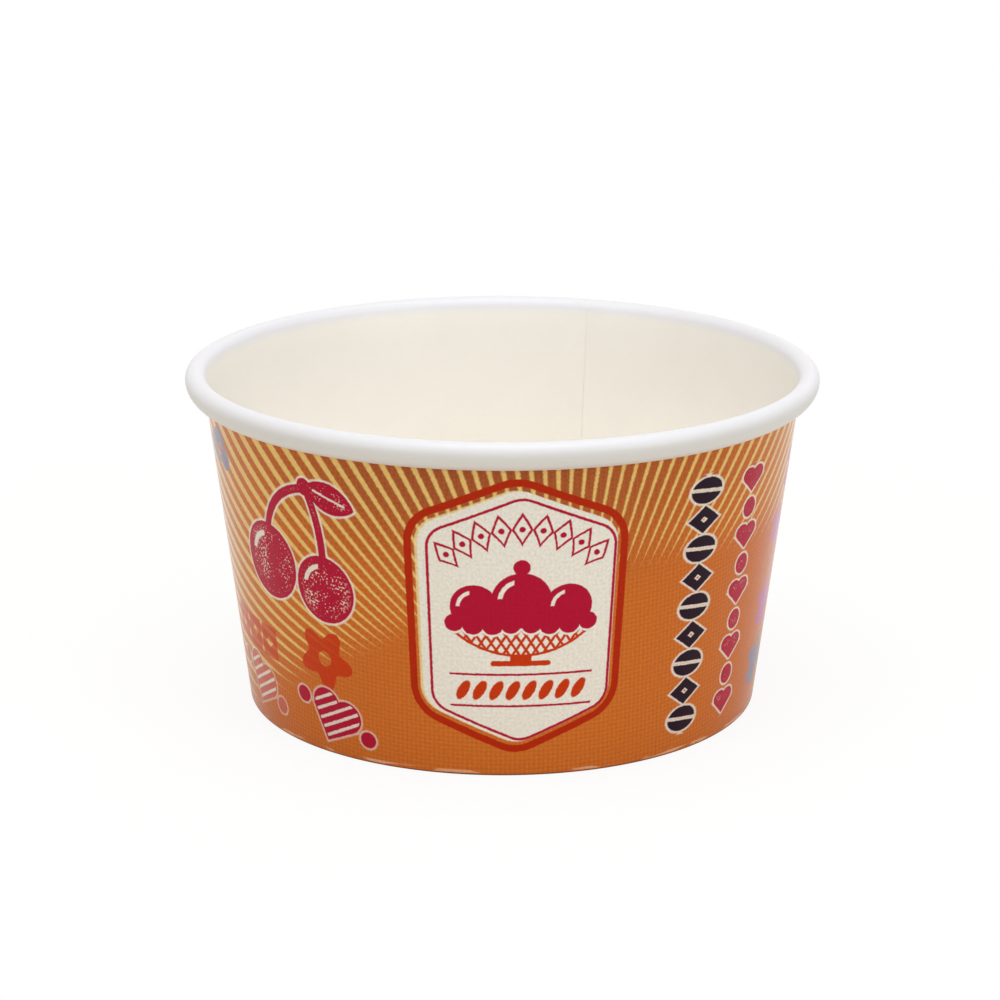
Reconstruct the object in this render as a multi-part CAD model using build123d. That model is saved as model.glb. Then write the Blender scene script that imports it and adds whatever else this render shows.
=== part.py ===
from build123d import *
from math import acos, asin, atan2, ceil, cos, degrees, hypot, radians, sin, tan
import os

# A round paper dessert cup, made the way such cups are made. A flat paperboard blank is
# rolled into a cone and glued along a lapped side seam. Its top edge is curled outward
# into a rim, and its bottom edge is folded up inside the foot, where it grips the skirt
# of a separate floor disc. The origin is the centre of the foot, on the table, +Z is up,
# and the printed front faces -Y. All sizes are in millimetres and degrees.

# Outside of the cup
RIM_DIAMETER = 92.0
CUP_HEIGHT = 49.7
FOOT_DIAMETER = 75.1

# Paperboard, and the glue between two layers of it
WALL_BOARD = 0.4
FLOOR_BOARD = 0.3
GLUE_LINE = 0.05

# Rolled rim: outside width and height of the roll, the bend where its lower side turns
# back up beside the wall, and the length and lean of the hidden end inside the roll
ROLL_WIDTH = 2.95
ROLL_HEIGHT = 3.95
TUCK_RADIUS = 0.6
TAIL_LENGTH = 0.8
TAIL_ANGLE = 50.0

# Foot: bend of the board at the table, and the gap from the hem's raw edge to the floor
FOLD_RADIUS = 0.25
HEM_GAP = 0.8

# Floor disc: height of its underside, its bend, and the skirt's gap above the fold
FLOOR_RECESS = 5.0
FLOOR_BEND_RADIUS = 0.6
SKIRT_GAP = 0.15

# Side seam: direction of the inner raw edge, counted from +X as seen from above, the
# glued width beyond it, and how far the doubled board stays above the table
SEAM_ANGLE = 72.0
LAP_WIDTH = 7.0
LAP_LIFT = 0.2

# Bends are made of short flats that touch the true arc. The widest turn of one flat from
# the next, in the open bends of the rim and in the tight or hidden ones
OPEN_FLAT_ANGLE = 24.0
TIGHT_FLAT_ANGLE = 50.0

# How far the seam's solids reach into the wall, and how deep their slanted face grazes it
OVERLAP = 0.15
GRAZE = 0.02

# Middle line of the board in the rolled rim
HALF_WALL = WALL_BOARD / 2
HALF_FLOOR = FLOOR_BOARD / 2
ROLL_RADIUS = (ROLL_WIDTH - WALL_BOARD) / 2
ROLL_CENTRE = Vector(RIM_DIAMETER / 2, CUP_HEIGHT) - Vector(1, 1) * (HALF_WALL + ROLL_RADIUS)
TUCK_HEIGHT = CUP_HEIGHT - ROLL_HEIGHT + HALF_WALL + TUCK_RADIUS

# The wall leans so that its outer face rises from the foot's edge and runs into the roll
RUN_OUT = ROLL_CENTRE.X - FOOT_DIAMETER / 2
RISE = ROLL_CENTRE.Y
LEAN = degrees(atan2(RUN_OUT, RISE) - asin((ROLL_RADIUS - HALF_WALL) / hypot(RUN_OUT, RISE)))


def wall_point(height, inward=0.0):
    """Section point at a height, the given distance square inward from the outer face."""
    radius = FOOT_DIAMETER / 2 + height * tan(radians(LEAN)) - inward / cos(radians(LEAN))
    return Vector(radius, height)


def bend(centre, radius, start, turn, flat_angle):
    """Corners of the short flats that touch an arc of a board's middle line from outside."""
    count = ceil(abs(turn) / flat_angle)
    step = turn / count
    reach = radius / cos(radians(step / 2))
    return [centre + Vector(reach, 0).rotate(Axis.Z, start + (i + 0.5) * step) for i in range(count)]


def board(corners, thickness):
    """Upright section of a bent board whose middle line runs through the corners."""
    return Plane.XZ * trace(Polyline(*corners), line_width=thickness)


def foot_corners():
    """Middle line of the foot, from the hem's raw edge round the fold to the wall."""
    hem_depth = WALL_BOARD + FLOOR_BOARD + 2 * GLUE_LINE + HALF_WALL
    bend_height = HALF_WALL + FOLD_RADIUS
    inner_centre = wall_point(bend_height, hem_depth - FOLD_RADIUS)
    outer_centre = wall_point(bend_height, HALF_WALL + FOLD_RADIUS)
    return [
        wall_point(FLOOR_RECESS - HEM_GAP, hem_depth),
        *bend(inner_centre, FOLD_RADIUS, 180 - LEAN, 90 + LEAN, TIGHT_FLAT_ANGLE),
        *bend(outer_centre, FOLD_RADIUS, 270, 90 - LEAN, TIGHT_FLAT_ANGLE),
    ]


def rim_corners():
    """Middle line of the rolled rim, from the top of the wall to the hidden end."""
    beside_wall = -(HALF_WALL + GLUE_LINE)
    tuck_centre = wall_point(TUCK_HEIGHT, beside_wall - TUCK_RADIUS)

    # One arc leads from the roll's widest point to the tuck, touching both
    widest = RIM_DIAMETER / 2 - HALF_WALL
    across = widest - tuck_centre.X
    drop = ROLL_CENTRE.Y - TUCK_HEIGHT
    under_radius = (across**2 + drop**2 - TUCK_RADIUS**2) / (2 * (across - TUCK_RADIUS))
    under_angle = degrees(atan2(drop, under_radius - across))
    under_centre = Vector(widest - under_radius, ROLL_CENTRE.Y)

    # The hidden end runs up beside the wall and leans in over the hollow of the roll
    tail_start = wall_point(ROLL_CENTRE.Y, beside_wall)
    tail_end = tail_start + Vector(0, TAIL_LENGTH).rotate(Axis.Z, -LEAN - TAIL_ANGLE)
    inward = 180 - LEAN
    return [
        *bend(ROLL_CENTRE, ROLL_RADIUS, inward, 90 - inward, OPEN_FLAT_ANGLE),
        *bend(ROLL_CENTRE, ROLL_RADIUS, 90, -90, OPEN_FLAT_ANGLE),
        *bend(under_centre, under_radius, 0, -under_angle, OPEN_FLAT_ANGLE),
        *bend(tuck_centre, TUCK_RADIUS, -under_angle, under_angle - 180 - LEAN, TIGHT_FLAT_ANGLE),
        tail_start,
        tail_end,
    ]


def wall_ring():
    """The wall with its hem, fold and rolled rim, before its seam is made."""
    return revolve(board(foot_corners() + rim_corners(), WALL_BOARD), Axis.Z)


# The outer layer of the seam lifts off along a flat slope, as stiff board does
SEAM_RADIUS = wall_point(CUP_HEIGHT / 2).X
SLOPE_ANGLE = degrees(acos(SEAM_RADIUS / (SEAM_RADIUS + WALL_BOARD)))
SLOPE_START = Rot(Z=SEAM_ANGLE - SLOPE_ANGLE)
LAP_ANGLE = degrees(LAP_WIDTH / SEAM_RADIUS)


def layer(bottom, top, inner, outer, angle):
    """Part of a turn of board, from +X on, between two heights and two depths of the wall."""
    corners = [
        wall_point(bottom, inner),
        wall_point(bottom, outer),
        wall_point(top, outer),
        wall_point(top, inner),
    ]
    section = Plane.XZ * make_face(Polyline(*corners, close=True))
    return revolve(section, Axis.Z, revolution_arc=angle)


def under_slope(solid, depth):
    """The part of a solid below the flat slope that leaves the wall, at +X, at a depth."""
    foot = wall_point(0, depth + GRAZE)
    slope = Plane(origin=(foot.X, 0, 0), z_dir=(cos(radians(LEAN)), 0, -sin(radians(LEAN))))
    return split(solid, bisect_by=slope, keep=Keep.BOTTOM)


def seam_lap():
    """Outer layer of the glued seam, from the foot up into the hidden part of the rim."""
    lap = layer(LAP_LIFT, ROLL_CENTRE.Y, OVERLAP, -WALL_BOARD, SLOPE_ANGLE + LAP_ANGLE)
    return SLOPE_START * under_slope(lap, 0)


def hem_lap():
    """Second layer of the hem, where the seam's doubled board is folded up inside."""
    hem_face = 2 * WALL_BOARD + FLOOR_BOARD + 2 * GLUE_LINE
    lap = layer(LAP_LIFT, FLOOR_RECESS - HEM_GAP, hem_face + WALL_BOARD, hem_face - OVERLAP, LAP_ANGLE)
    return Rot(Z=SEAM_ANGLE) * lap


def inner_step():
    """Shallow groove left inside the cup, between the slope and the inner raw edge."""
    floor_top = FLOOR_RECESS + FLOOR_BOARD
    groove = layer(floor_top, ROLL_CENTRE.Y, WALL_BOARD + OVERLAP, -OVERLAP, SLOPE_ANGLE)
    return SLOPE_START * under_slope(groove, WALL_BOARD)


def side_wall():
    """The rolled blank in one piece: hem, fold, wall, rim and seam."""
    return wall_ring() + seam_lap() + hem_lap() - inner_step()


def bottom_disc():
    """The floor, a flat disc with its edge turned down between the wall and the hem."""
    skirt_depth = WALL_BOARD + GLUE_LINE + HALF_FLOOR
    floor_height = FLOOR_RECESS + HALF_FLOOR
    bend_centre = wall_point(floor_height - FLOOR_BEND_RADIUS, skirt_depth + FLOOR_BEND_RADIUS)

    corners = [
        Vector(0, floor_height),
        *bend(bend_centre, FLOOR_BEND_RADIUS, 90, -(90 + LEAN), TIGHT_FLAT_ANGLE),
        wall_point(WALL_BOARD + SKIRT_GAP, skirt_depth),
    ]
    return revolve(board(corners, FLOOR_BOARD), Axis.Z)


os.makedirs("parts", exist_ok=True)
export_step(side_wall(), "parts/side_wall.step")
export_step(bottom_disc(), "parts/bottom_disc.step")
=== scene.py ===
"""Looks of a round paper dessert cup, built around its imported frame.

The cup is one rolled blank of printed board, with a rolled rim, a glued side seam and a
folded foot, and a floor disc that the foot grips. Each piece is modelled along the middle
line of its board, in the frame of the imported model: the centre of the foot is the origin,
+Z is up and the printed front faces -Y. The print is drawn by shader nodes on the flat
blank, in millimetres, as a press lays it down before the blank is rolled.
"""

from __future__ import annotations

import logging
import math
from collections.abc import Callable, Iterator
from contextlib import contextmanager
from dataclasses import dataclass, field
from enum import Enum
from functools import reduce

import bmesh
import bpy
from bmesh.types import BMVert
from bpy.types import Material, Mesh, Node, NodeSocket, Object, World
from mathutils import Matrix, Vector

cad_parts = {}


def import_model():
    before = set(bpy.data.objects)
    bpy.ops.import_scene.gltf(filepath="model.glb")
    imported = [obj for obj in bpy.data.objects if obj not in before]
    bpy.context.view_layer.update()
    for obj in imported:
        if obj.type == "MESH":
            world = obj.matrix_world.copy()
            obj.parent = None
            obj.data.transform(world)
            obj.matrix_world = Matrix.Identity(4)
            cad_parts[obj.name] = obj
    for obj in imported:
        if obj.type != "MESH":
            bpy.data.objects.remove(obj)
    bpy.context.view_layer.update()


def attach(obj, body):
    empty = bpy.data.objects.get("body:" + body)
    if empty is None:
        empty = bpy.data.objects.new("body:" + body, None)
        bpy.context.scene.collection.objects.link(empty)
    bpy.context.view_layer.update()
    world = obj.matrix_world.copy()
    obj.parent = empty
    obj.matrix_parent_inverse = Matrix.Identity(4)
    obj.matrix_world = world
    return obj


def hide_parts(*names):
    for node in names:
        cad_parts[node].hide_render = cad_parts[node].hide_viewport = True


LOG = logging.getLogger("paper_cup")
MM = 0.001
BLANK = "blank"
RAN = "ran"
PRESSED = "pressed"
WHITE = (1.0, 1.0, 1.0, 1.0)
FULL_TURN = 2 * math.pi
SHARP_ANGLE = 40.0

Pair = tuple[float, float]
Triple = tuple[float, float, float]


# Sizes


@dataclass(frozen=True)
class CupSizes:
    """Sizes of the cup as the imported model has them, in millimetres and degrees."""

    rim_diameter: float = 92.0
    height: float = 49.7
    foot_diameter: float = 75.1
    wall_board: float = 0.4
    floor_board: float = 0.3
    glue_line: float = 0.05
    roll_width: float = 2.95
    roll_height: float = 3.95
    tuck_radius: float = 0.6
    tail_length: float = 0.8
    tail_angle: float = 50.0
    fold_radius: float = 0.25
    hem_gap: float = 0.8
    floor_recess: float = 5.0
    floor_bend_radius: float = 0.6
    skirt_gap: float = 0.15
    seam_angle: float = 72.0
    slope_angle: float = 8.05
    lap_angle: float = 9.95

    @property
    def half_wall(self) -> float:
        """Half the thickness of the wall's board."""
        return self.wall_board / 2

    @property
    def roll_radius(self) -> float:
        """Radius of the rolled rim's middle line."""
        return (self.roll_width - self.wall_board) / 2

    @property
    def roll_centre(self) -> Vector:
        """Centre of the rolled rim's section, as radius and height."""
        inset = self.half_wall + self.roll_radius
        return Vector((self.rim_diameter / 2 - inset, self.height - inset))

    @property
    def lean(self) -> float:
        """Lean of the wall from upright, in radians."""
        run_out = self.roll_centre.x - self.foot_diameter / 2
        rise = self.roll_centre.y
        touch = math.asin((self.roll_radius - self.half_wall) / math.hypot(run_out, rise))
        return math.atan2(run_out, rise) - touch

    @property
    def lean_degrees(self) -> float:
        """Lean of the wall from upright, in degrees."""
        return math.degrees(self.lean)

    @property
    def square(self) -> Vector:
        """Direction square out of the wall, as radius and height."""
        return Vector((math.cos(self.lean), -math.sin(self.lean)))

    @property
    def blank_radius(self) -> float:
        """Distance on the flat blank from the cone's tip to the foot's edge."""
        return self.foot_diameter / 2 / math.sin(self.lean)

    def wall_point(self, height: float, inward: float = 0.0) -> Vector:
        """Radius and height of a place in the wall, some way square in from its outer face."""
        radius = self.foot_diameter / 2 + height * math.tan(self.lean)
        return Vector((radius - inward / math.cos(self.lean), height))


# Bench work: selecting and shaping with Blender's own tools


def pick_object(piece: Object) -> None:
    """Selects one object alone and makes it the active one."""
    bpy.ops.object.select_all(action="DESELECT")
    bpy.context.view_layer.objects.active = piece
    piece.select_set(True)


@contextmanager
def editing(piece: Object, mode: str = "VERT") -> Iterator[None]:
    """Opens a piece alone in edit mode and closes it again.

    Args:
        piece: The piece to work on.
        mode: The select mode, VERT, EDGE or FACE.
    """
    pick_object(piece)
    bpy.ops.object.mode_set(mode="EDIT")
    bpy.ops.mesh.select_mode(type=mode)
    try:
        yield
    finally:
        bpy.ops.object.mode_set(mode="OBJECT")


def pick(piece: Object, test: Callable[[BMVert], bool]) -> None:
    """Selects in edit mode just the points that pass a test.

    Args:
        piece: The piece that is open in edit mode.
        test: Says whether a point is wanted.
    """
    bpy.ops.mesh.select_all(action="DESELECT")
    mesh = bmesh.from_edit_mesh(piece.data)
    for point in mesh.verts:
        if test(point):
            point.select = True
    mesh.select_flush_mode()
    bmesh.update_edit_mesh(piece.data)


def section(place: Vector) -> Vector:
    """Turns radius and height in millimetres into a place on the section at +X, in metres."""
    return Vector((place.x * MM, 0.0, place.y * MM))


def direction(angle: float) -> Vector:
    """Unit vector at an angle in radians, counter-clockwise from the first axis."""
    return Vector((math.cos(angle), math.sin(angle)))


def draw_to(start: Vector, end: Vector) -> None:
    """Extrudes the selected point of a section straight from one place to another."""
    move = section(end) - section(start)
    bpy.ops.mesh.extrude_region_move(TRANSFORM_OT_translate={"value": move})


def draw_round(centre: Vector, degrees: float, steps: int) -> None:
    """Spins the selected point of a section round a centre.

    Args:
        centre: Centre of the bend, as radius and height in millimetres.
        degrees: The turn, counter-clockwise with radius to the right and height up.
        steps: How many chords the bend has.
    """
    bpy.ops.mesh.spin(
        steps=steps,
        angle=math.radians(degrees),
        center=section(centre),
        axis=(0.0, 1.0, 0.0),
        dupli=False,
    )


def close_to(place: Vector, reach: float = 0.02) -> Callable[[BMVert], bool]:
    """Makes a test for points that lie within a reach of a place of the section."""
    there = section(place)
    return lambda point: (point.co - there).length < reach * MM


def start_circle(name: str, corners: int, radius: float, centre: Vector, **options: object) -> Object:
    """Starts a piece from a circle, with its origin at the cup's.

    Args:
        name: The piece's name.
        corners: How many points the circle has.
        radius: Its radius in millimetres.
        centre: Its centre in metres.
        options: Other settings of the tool that adds it.

    Returns:
        The piece.
    """
    bpy.ops.object.select_all(action="DESELECT")
    bpy.ops.mesh.primitive_circle_add(vertices=corners, radius=radius * MM, location=centre, **options)
    piece = bpy.context.object
    piece.name = piece.data.name = name
    bpy.ops.object.transform_apply(location=True, rotation=True, scale=True)
    return piece


def face_out(piece: Object, outward: Callable[[Mesh], float]) -> None:
    """Turns all faces of a sheet to its outer side.

    Args:
        piece: The sheet.
        outward: Gives a number above zero if the faces already look that way.
    """
    with editing(piece, "FACE"):
        bpy.ops.mesh.select_all(action="SELECT")
        bpy.ops.mesh.normals_make_consistent(inside=False)
    if outward(piece.data) < 0:
        with editing(piece, "FACE"):
            bpy.ops.mesh.select_all(action="SELECT")
            bpy.ops.mesh.flip_normals()


def make_board(piece: Object, thickness: float, finishes: list[Material], group: str = "") -> None:
    """Gives a sheet its board, half on each side, its finishes and its smooth shading.

    Args:
        piece: The sheet, whose faces look to the board's outer side.
        thickness: Thickness in millimetres.
        finishes: Finishes of its face, its back and its cut edge.
        group: Vertex group that says how much of the thickness each point has, if any.
    """
    for finish in finishes:
        piece.data.materials.append(finish)
    solid = piece.modifiers.new("board", "SOLIDIFY")
    solid.thickness = thickness * MM
    solid.offset = 0.0
    solid.use_even_offset = True
    solid.material_offset = 1
    solid.material_offset_rim = 2
    solid.vertex_group = group
    pick_object(piece)
    bpy.ops.object.modifier_apply(modifier="board")
    bpy.ops.object.shade_smooth_by_angle(angle=math.radians(SHARP_ANGLE))


# Shader maths written as Python expressions


def linear(written: str) -> tuple[float, float, float, float]:
    """Turns a colour's six hexadecimal digits on screen into the renderer's linear colour."""
    parts = [int(written[i : i + 2], 16) / 255 for i in (0, 2, 4)]
    return (*(c / 12.92 if c <= 0.04045 else ((c + 0.055) / 1.055) ** 2.4 for c in parts), 1.0)


def math_method(operation: str) -> Callable[..., Wire]:
    """Makes a method that adds a Math node to the number it is called on."""

    def method(self: Wire, *others: Numeric) -> Wire:
        """Adds the node and gives its result."""
        return self.bench.math(operation, self, *others)

    return method


class Wire:
    """A number that a material's nodes work out, with Python's operators.

    Where the number is a distance from a shape's edge, below zero inside, least joins two
    shapes and most keeps what they share. part is what the number has above the whole
    number below it.
    """

    __add__ = __radd__ = math_method("ADD")
    __sub__ = math_method("SUBTRACT")
    __mul__ = __rmul__ = math_method("MULTIPLY")
    __truediv__ = math_method("DIVIDE")
    __lt__ = math_method("LESS_THAN")
    __gt__ = math_method("GREATER_THAN")
    __abs__ = math_method("ABSOLUTE")
    least = math_method("MINIMUM")
    most = math_method("MAXIMUM")
    sine = math_method("SINE")
    root = math_method("SQRT")
    part = math_method("FRACT")

    def __init__(self, bench: Bench, socket: NodeSocket) -> None:
        """Keeps the bench that makes nodes, and the socket that gives the number."""
        self.bench = bench
        self.socket = socket

    def __rsub__(self, other: float) -> Wire:
        """Difference from a plain number."""
        return self.bench.math("SUBTRACT", other, self)

    def times_plus(self, factor: Numeric, addend: Numeric, clamp: bool = False) -> Wire:
        """The number times a factor plus an addend, kept from 0 to 1 if asked."""
        return self.bench.math("MULTIPLY_ADD", self, factor, addend, clamp=clamp)

    def ramp(self, low: float, high: float) -> Wire:
        """Smooth step from 0 at one value to 1 at another, which may lie below the first."""
        settings = {"interpolation_type": "SMOOTHSTEP"}
        inputs = {"Value": self, "From Min": low, "From Max": high}
        return Wire(self.bench, self.bench.node("ShaderNodeMapRange", settings, inputs).outputs["Result"])

    def inside(self, blur: float = 0.12) -> Wire:
        """Ink of a shape from the distance to its edge: 1 inside and 0 outside."""
        return self.times_plus(-1.0 / blur, 0.5, clamp=True)

    def cells(self, period: float, count: int) -> tuple[Wire, Wire]:
        """Divides a stretch about zero into cells that follow each other.

        Args:
            period: Length of a cell.
            count: How many cells there are.

        Returns:
            The way from the middle of the cell, and the distance from the stretch's ends.
        """
        steps = self / period + count / 2
        return (steps.part() - 0.5) * period, abs(self) - period * count / 2


def joined(*shapes: Wire) -> Wire:
    """Distance from the edge of all shapes together."""
    return reduce(Wire.least, shapes)


def shared(*shapes: Wire) -> Wire:
    """Distance from the edge of what all shapes have in common."""
    return reduce(Wire.most, shapes)


class Spot:
    """A place on the flat blank, in millimetres, that a material's nodes work out.

    A heart is a round lobe above a straight side, given by its direction and its reach.
    """

    heart_lobe: Triple = (1.9, 1.3, 2.45)
    heart_side: Triple = (0.72, -0.694, 2.916)
    petals: int = 5
    petal_swing: float = 0.19
    petal_slope: float = 0.8

    def __init__(self, bench: Bench, socket: NodeSocket) -> None:
        """Keeps the bench that makes nodes, and the socket that gives the place."""
        self.bench = bench
        self.socket = socket
        self._parts: Node | None = None

    def _vector(self, operation: str, other: tuple | Spot | None = None) -> Spot:
        """Adds a Vector Math node that gives a place."""
        return Spot(self.bench, self.bench.vector_math(operation, self, other).outputs["Vector"])

    def _value(self, operation: str, other: tuple | None = None) -> Wire:
        """Adds a Vector Math node that gives a number."""
        return Wire(self.bench, self.bench.vector_math(operation, self, other).outputs["Value"])

    def _separate(self, name: str) -> Wire:
        """One of the place's two numbers, from one shared node."""
        if self._parts is None:
            self._parts = self.bench.node("ShaderNodeSeparateXYZ", {}, {"Vector": self})
        return Wire(self.bench, self._parts.outputs[name])

    @property
    def x(self) -> Wire:
        """Distance to the right."""
        return self._separate("X")

    @property
    def y(self) -> Wire:
        """Distance up."""
        return self._separate("Y")

    def from_(self, x: float, y: float) -> Spot:
        """The place as seen from a new origin."""
        return self._vector("SUBTRACT", (x, y, 0.0))

    def plus(self, other: Spot) -> Spot:
        """The place moved by another."""
        return self._vector("ADD", other)

    def scaled(self, x: float, y: float) -> Spot:
        """The place with its two numbers multiplied."""
        return self._vector("MULTIPLY", (x, y, 0.0))

    def folded(self) -> Spot:
        """The place mirrored into the upper right quarter."""
        return self._vector("ABSOLUTE")

    def folded_x(self) -> Spot:
        """The place mirrored to the right of the upright axis."""
        return self.bench.spot(abs(self.x), self.y)

    def turned(self, degrees: float) -> Spot:
        """The place as seen by a shape that is turned counter-clockwise."""
        inputs = {"Vector": self, "Angle": -math.radians(degrees)}
        node = self.bench.node("ShaderNodeVectorRotate", {"rotation_type": "Z_AXIS"}, inputs)
        return Spot(self.bench, node.outputs["Vector"])

    def length(self) -> Wire:
        """Distance from the origin."""
        return self._value("LENGTH")

    def bearing(self) -> Wire:
        """Angle from straight up, clockwise, in radians."""
        return self.bench.math("ARCTAN2", self.x, self.y)

    def along(self, x: float, y: float) -> Wire:
        """How far the place lies along a direction."""
        return self._value("DOT_PRODUCT", (x, y, 0.0))

    def disc(self, x: float, y: float, radius: float) -> Wire:
        """Distance from the edge of a round spot."""
        return self._value("DISTANCE", (x, y, 0.0)) - radius

    def discs(self, *discs: Triple) -> Wire:
        """Distance from the edge of round spots, each given by its place and radius."""
        return joined(*(self.disc(*disc) for disc in discs))

    def block(self, left: float, low: float, right: float, high: float) -> Wire:
        """Distance from the edge of an upright block, measured square to its sides."""
        seen = self.from_((left + right) / 2, (low + high) / 2).folded()
        beyond = seen.from_((right - left) / 2, (high - low) / 2)
        return beyond.x.most(beyond.y)

    def bar(self, width: float, height: float, corner: float) -> Wire:
        """Distance from the edge of a block with rounded corners about the origin."""
        beyond = self.folded().from_(width / 2 - corner, height / 2 - corner)
        return beyond._vector("MAXIMUM", (0.0, 0.0, 0.0)).length() - corner

    def leaf(self, length: float, width: float) -> Wire:
        """Distance from the edge of a pointed leaf that lies along x about the origin."""
        radius = (length**2 + width**2) / (4 * width)
        drop = radius - width / 2
        return self.disc(0.0, -drop, radius).most(self.disc(0.0, drop, radius))

    def heart(self) -> Wire:
        """Distance from the edge of a heart about the origin."""
        half = self.folded_x()
        lobe = half.disc(*self.heart_lobe)
        across, up, reach = self.heart_side
        point = half.along(across, up) - reach
        return lobe.least(point.most(half.y))

    def bloom(self, radius: float) -> Wire:
        """Distance from the edge of a flower about the origin."""
        swing = (self.bearing() * float(self.petals)).sine() * (radius * self.petal_swing)
        return (self.length() - swing - radius * (1 - self.petal_swing)) * self.petal_slope


Numeric = Wire | float
Input = Wire | Spot | NodeSocket | float | tuple


class Bench:
    """Makes the nodes of one material or of the surroundings."""

    def __init__(self, owner: Material | World) -> None:
        """Clears the owner's tree of nodes and keeps it."""
        owner.use_nodes = True
        self.tree = owner.node_tree
        self.tree.nodes.clear()

    def node(self, kind: str, settings: dict, inputs: dict) -> Node:
        """Adds a node.

        Args:
            kind: The node's type.
            settings: Its options, which are set first.
            inputs: Values or links for its sockets, by name or number.

        Returns:
            The node.
        """
        made = self.tree.nodes.new(kind)
        for name, value in settings.items():
            setattr(made, name, value)
        for name, value in inputs.items():
            source = value.socket if isinstance(value, (Wire, Spot)) else value
            if isinstance(source, NodeSocket):
                self.tree.links.new(source, made.inputs[name])
            else:
                made.inputs[name].default_value = source
        return made

    def math(self, operation: str, *values: Numeric, clamp: bool = False) -> Wire:
        """Adds a Math node for one to three values, and keeps the result from 0 to 1 if asked."""
        settings = {"operation": operation, "use_clamp": clamp}
        return Wire(self, self.node("ShaderNodeMath", settings, dict(enumerate(values))).outputs[0])

    def vector_math(self, operation: str, first: Spot, second: tuple | Spot | None = None) -> Node:
        """Adds a Vector Math node for one or two values."""
        values = {0: first} if second is None else {0: first, 1: second}
        return self.node("ShaderNodeVectorMath", {"operation": operation}, values)

    def spot(self, x: Numeric, y: Numeric, z: Numeric = 0.0) -> Spot:
        """A place from its numbers."""
        made = self.node("ShaderNodeCombineXYZ", {}, {"X": x, "Y": y, "Z": z})
        return Spot(self, made.outputs["Vector"])

    def blank(self) -> Spot:
        """The place on the flat blank, from the mesh's own attribute."""
        made = self.node("ShaderNodeAttribute", {"attribute_name": BLANK}, {})
        return Spot(self, made.outputs["Vector"])

    def solid(self) -> Spot:
        """The place in the cup, from Object coordinates, in millimetres."""
        bare = Spot(self, self.node("ShaderNodeTexCoord", {}, {}).outputs["Object"])
        return Spot(self, self.vector_math("MULTIPLY", bare, (1 / MM, 1 / MM, 1 / MM)).outputs["Vector"])

    def grain(self, place: Spot, size: float, detail: float = 2.0) -> Wire:
        """Cloudy noise from 0 to 1, with clouds of a size in millimetres and finer layers."""
        inputs = {"Vector": place, "Scale": 1.0 / size, "Detail": detail}
        return Wire(self, self.node("ShaderNodeTexNoise", {}, inputs).outputs[0])

    def mix(self, below: Input, above: Input, cover: Numeric, blend: str = "MIX") -> NodeSocket:
        """Lays one colour over another, as far as it covers it, and gives what shows."""
        settings = {"data_type": "RGBA", "blend_type": blend, "clamp_factor": True}
        return self.node("ShaderNodeMix", settings, {0: cover, 6: below, 7: above}).outputs[2]

    def shade(self, colour: Input, level: Wire) -> NodeSocket:
        """Multiplies a colour by a level."""
        grey = self.node("ShaderNodeCombineColor", {}, {"Red": level, "Green": level, "Blue": level})
        return self.mix(colour, grey.outputs["Color"], 1.0, "MULTIPLY")

    def bump(self, height: Wire, depth: float, strength: float) -> NodeSocket:
        """Direction of a surface with a relief of a depth in millimetres."""
        inputs = {"Height": height, "Distance": depth * MM, "Strength": strength}
        return self.node("ShaderNodeBump", {}, inputs).outputs["Normal"]

    def rays(self) -> tuple[Wire, Wire, Wire]:
        """1 for rays from the camera, from a gloss and through something clear, each."""
        path = self.node("ShaderNodeLightPath", {}, {})
        names = ("Is Camera Ray", "Is Glossy Ray", "Is Transmission Ray")
        return tuple(Wire(self, path.outputs[name]) for name in names)

    def finish(self, inputs: dict) -> None:
        """Ends a material in a Principled shader with the given sockets."""
        shader = self.node("ShaderNodeBsdfPrincipled", {}, inputs)
        self.node("ShaderNodeOutputMaterial", {}, {"Surface": shader.outputs["BSDF"]})


# The print


class Ink(Enum):
    """Colours of the print, as written on screen, with painted light among them: the brown is partly painted
    shade under the rim, and the fold's highlight and shadow are painted.
    """

    ORANGE = "CB6C26"
    # Brown: partly print, partly painted shade under the rim.
    BROWN_AND_RIM_SHADE = "9C4E2A"
    GOLD = "E6C070"
    CREAM = "E9E1D1"
    PALE_YELLOW = "EBD79B"
    VERMILION = "C43606"
    FRAME_RED = "B02602"
    CRIMSON = "B00E30"
    AUBERGINE = "22081A"
    PURPLE = "B85A9C"
    GREY = "7C7C92"
    # Painted highlight of the fold's gloss.
    FOLD_HIGHLIGHT = "F2C69A"
    # Painted shadow along the fold's underside.
    FOLD_SHADOW = "7C3A22"


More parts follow.
